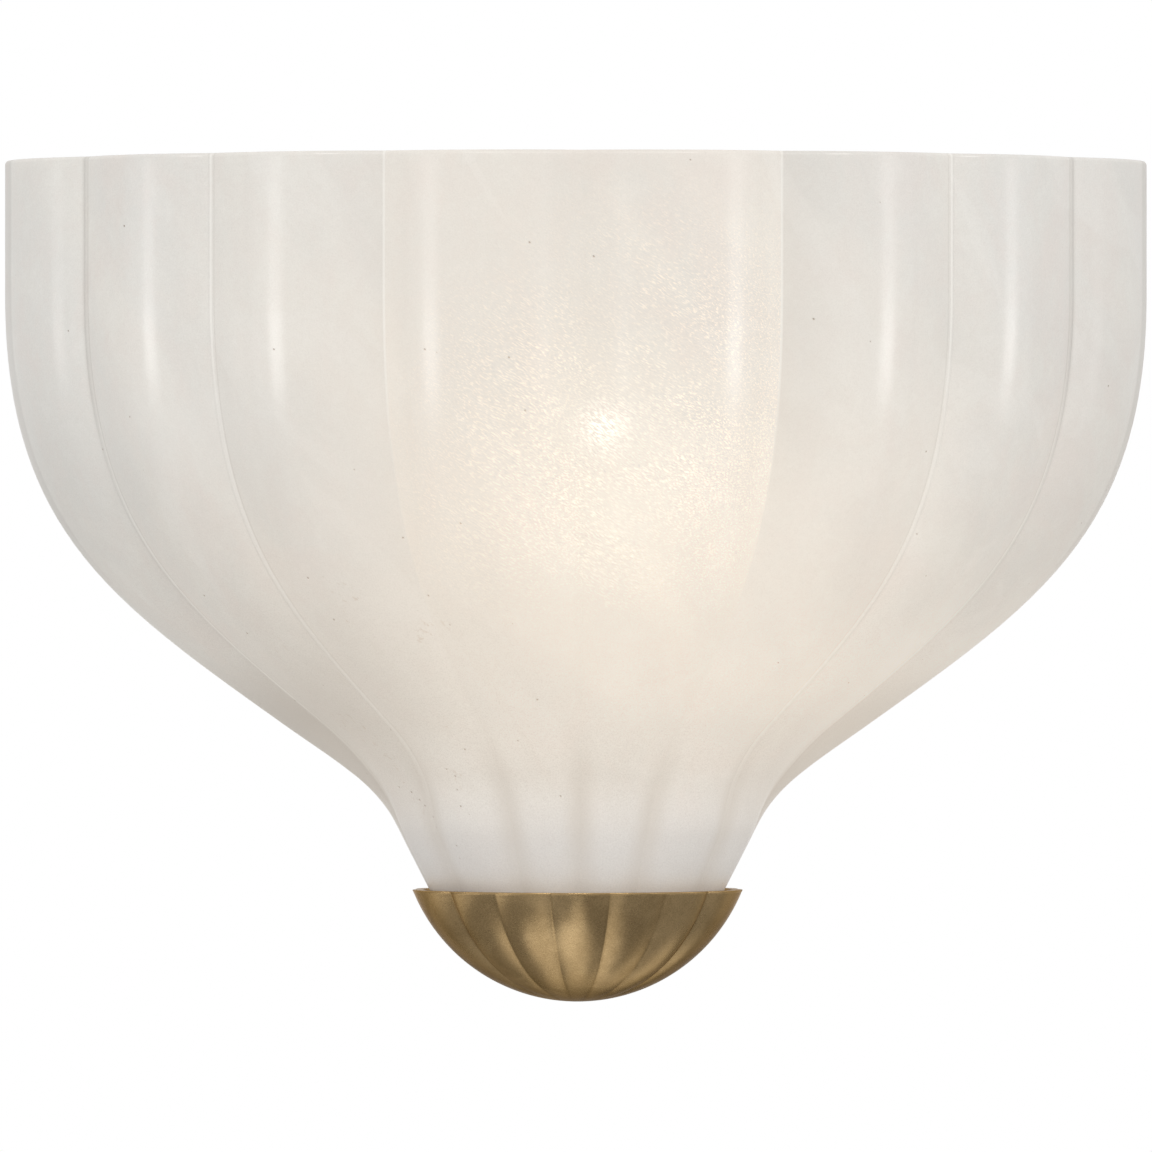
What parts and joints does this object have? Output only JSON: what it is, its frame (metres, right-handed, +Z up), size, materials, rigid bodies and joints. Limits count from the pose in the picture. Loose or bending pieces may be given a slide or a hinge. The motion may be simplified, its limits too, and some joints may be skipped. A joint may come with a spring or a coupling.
{
  "type": "wall sconce",
  "caption": "Wall sconce with a fluted half-bowl alabaster shade on a gadrooned brass cup, an upright bulb inside and a wall pan behind.",
  "frame": {"origin": "middle of the two wall-box screw slots, on the face of the wall", "axes": "+Z up, +Y into the wall, -Y out to the room, +X to the right as seen from the room"},
  "size_m": [0.3372, 0.1219, 0.2474],
  "materials": {
    "alabaster": "polished alabaster, translucent, cloudy veins",
    "antique_brass": "hand-rubbed antique brass, satin",
    "bright_brass": "knurled, lacquered",
    "frame_enamel": "white baked enamel",
    "zinc_steel": "zinc plated",
    "gasket_rubber": "soft black rubber",
    "wall_felt": "grey-white felt",
    "porcelain": "white glaze",
    "nickel_shell": "nickel-plated thread",
    "contact_brass": "bare phosphor bronze",
    "bulb_diffuser": "opal, lit from inside",
    "bulb_plastic": "smooth white",
    "led_board": "white solder mask",
    "board_aluminium": "bare",
    "black_insulator": "black vitrite",
    "solder": "soft solder",
    "live_insulation": "black",
    "neutral_insulation": "white",
    "earth_insulation": "green",
    "block_plastic": "nylon, off-white",
    "tinned_copper": "tinned",
    "earth_green": "green dyed",
    "grommet_rubber": "black"
  },
  "bodies": {
    "wall_body": {"alabaster_shade": "alabaster", "brass_cup": "antique_brass", "neck_gasket": "gasket_rubber", "seat_plate": "frame_enamel", "cup_screw": "zinc_steel", "cup_screw_washer": "zinc_steel", "spine_bar": "frame_enamel", "spine_screws": "zinc_steel", "spine_nuts": "zinc_steel", "top_yoke": "frame_enamel", "yoke_screws": "zinc_steel", "side_clip_left": "frame_enamel", "side_clip_right": "frame_enamel", "clip_screws": "zinc_steel", "clip_nuts": "zinc_steel", "backplate_pan": "frame_enamel", "mounting_strap": "zinc_steel", "canopy_studs": "zinc_steel", "stud_nuts": "zinc_steel", "cap_nuts": "bright_brass", "wall_pads": "wall_felt", "socket_bracket": "frame_enamel", "bracket_rivets": "zinc_steel", "threaded_nipple": "zinc_steel", "nipple_nut": "zinc_steel", "lampholder_body": "porcelain", "screw_shell": "nickel_shell", "holder_terminal_screws": "zinc_steel", "lead_terminals": "tinned_copper", "contact_spring": "zinc_steel", "pan_grommets": "grommet_rubber", "live_lead": "live_insulation", "neutral_lead": "neutral_insulation", "earth_lead": "earth_insulation", "terminal_block": "block_plastic", "block_screws": "zinc_steel", "block_fixing_screw": "zinc_steel", "earth_terminals": "tinned_copper", "earth_screw": "earth_green", "pan_earth_screw": "earth_green"},
    "contact": {"centre_contact": "contact_brass"},
    "bulb": {"bulb_dome": "bulb_diffuser", "bulb_body": "bulb_plastic", "bulb_led_board": "led_board", "bulb_board_plate": "board_aluminium", "bulb_screw_base": "nickel_shell", "bulb_insulator": "black_insulator", "bulb_tip_contact": "solder"},
    "left_pad": {"clip_pad_left": "gasket_rubber", "pad_screw_left": "bright_brass"},
    "right_pad": {"clip_pad_right": "gasket_rubber", "pad_screw_right": "bright_brass"}
  },
  "joints": [
    {"name": "contact_slide", "type": "slide", "parent": "wall_body", "child": "contact", "axis": [0, 0, 1], "range_m": [0, 0.00181], "deforming": ["contact_spring"]},
    {"name": "bulb_turn", "type": "hinge", "parent": "contact", "child": "bulb", "pos_m": [0, -0.05674, -0.04], "axis": [0, 0, 1], "range_deg": [0, 180]},
    {"name": "left_pad_slide", "type": "slide", "parent": "wall_body", "child": "left_pad", "axis": [-0.8876, -0.4607, 0], "range_m": [-0.0022, 0]},
    {"name": "right_pad_slide", "type": "slide", "parent": "wall_body", "child": "right_pad", "axis": [0.8876, -0.4607, 0], "range_m": [-0.0022, 0]}
  ],
  "couplings": [
    {"joint": "contact_slide", "follows": "bulb_turn", "m_per_rad": 0.00057773}
  ]
}
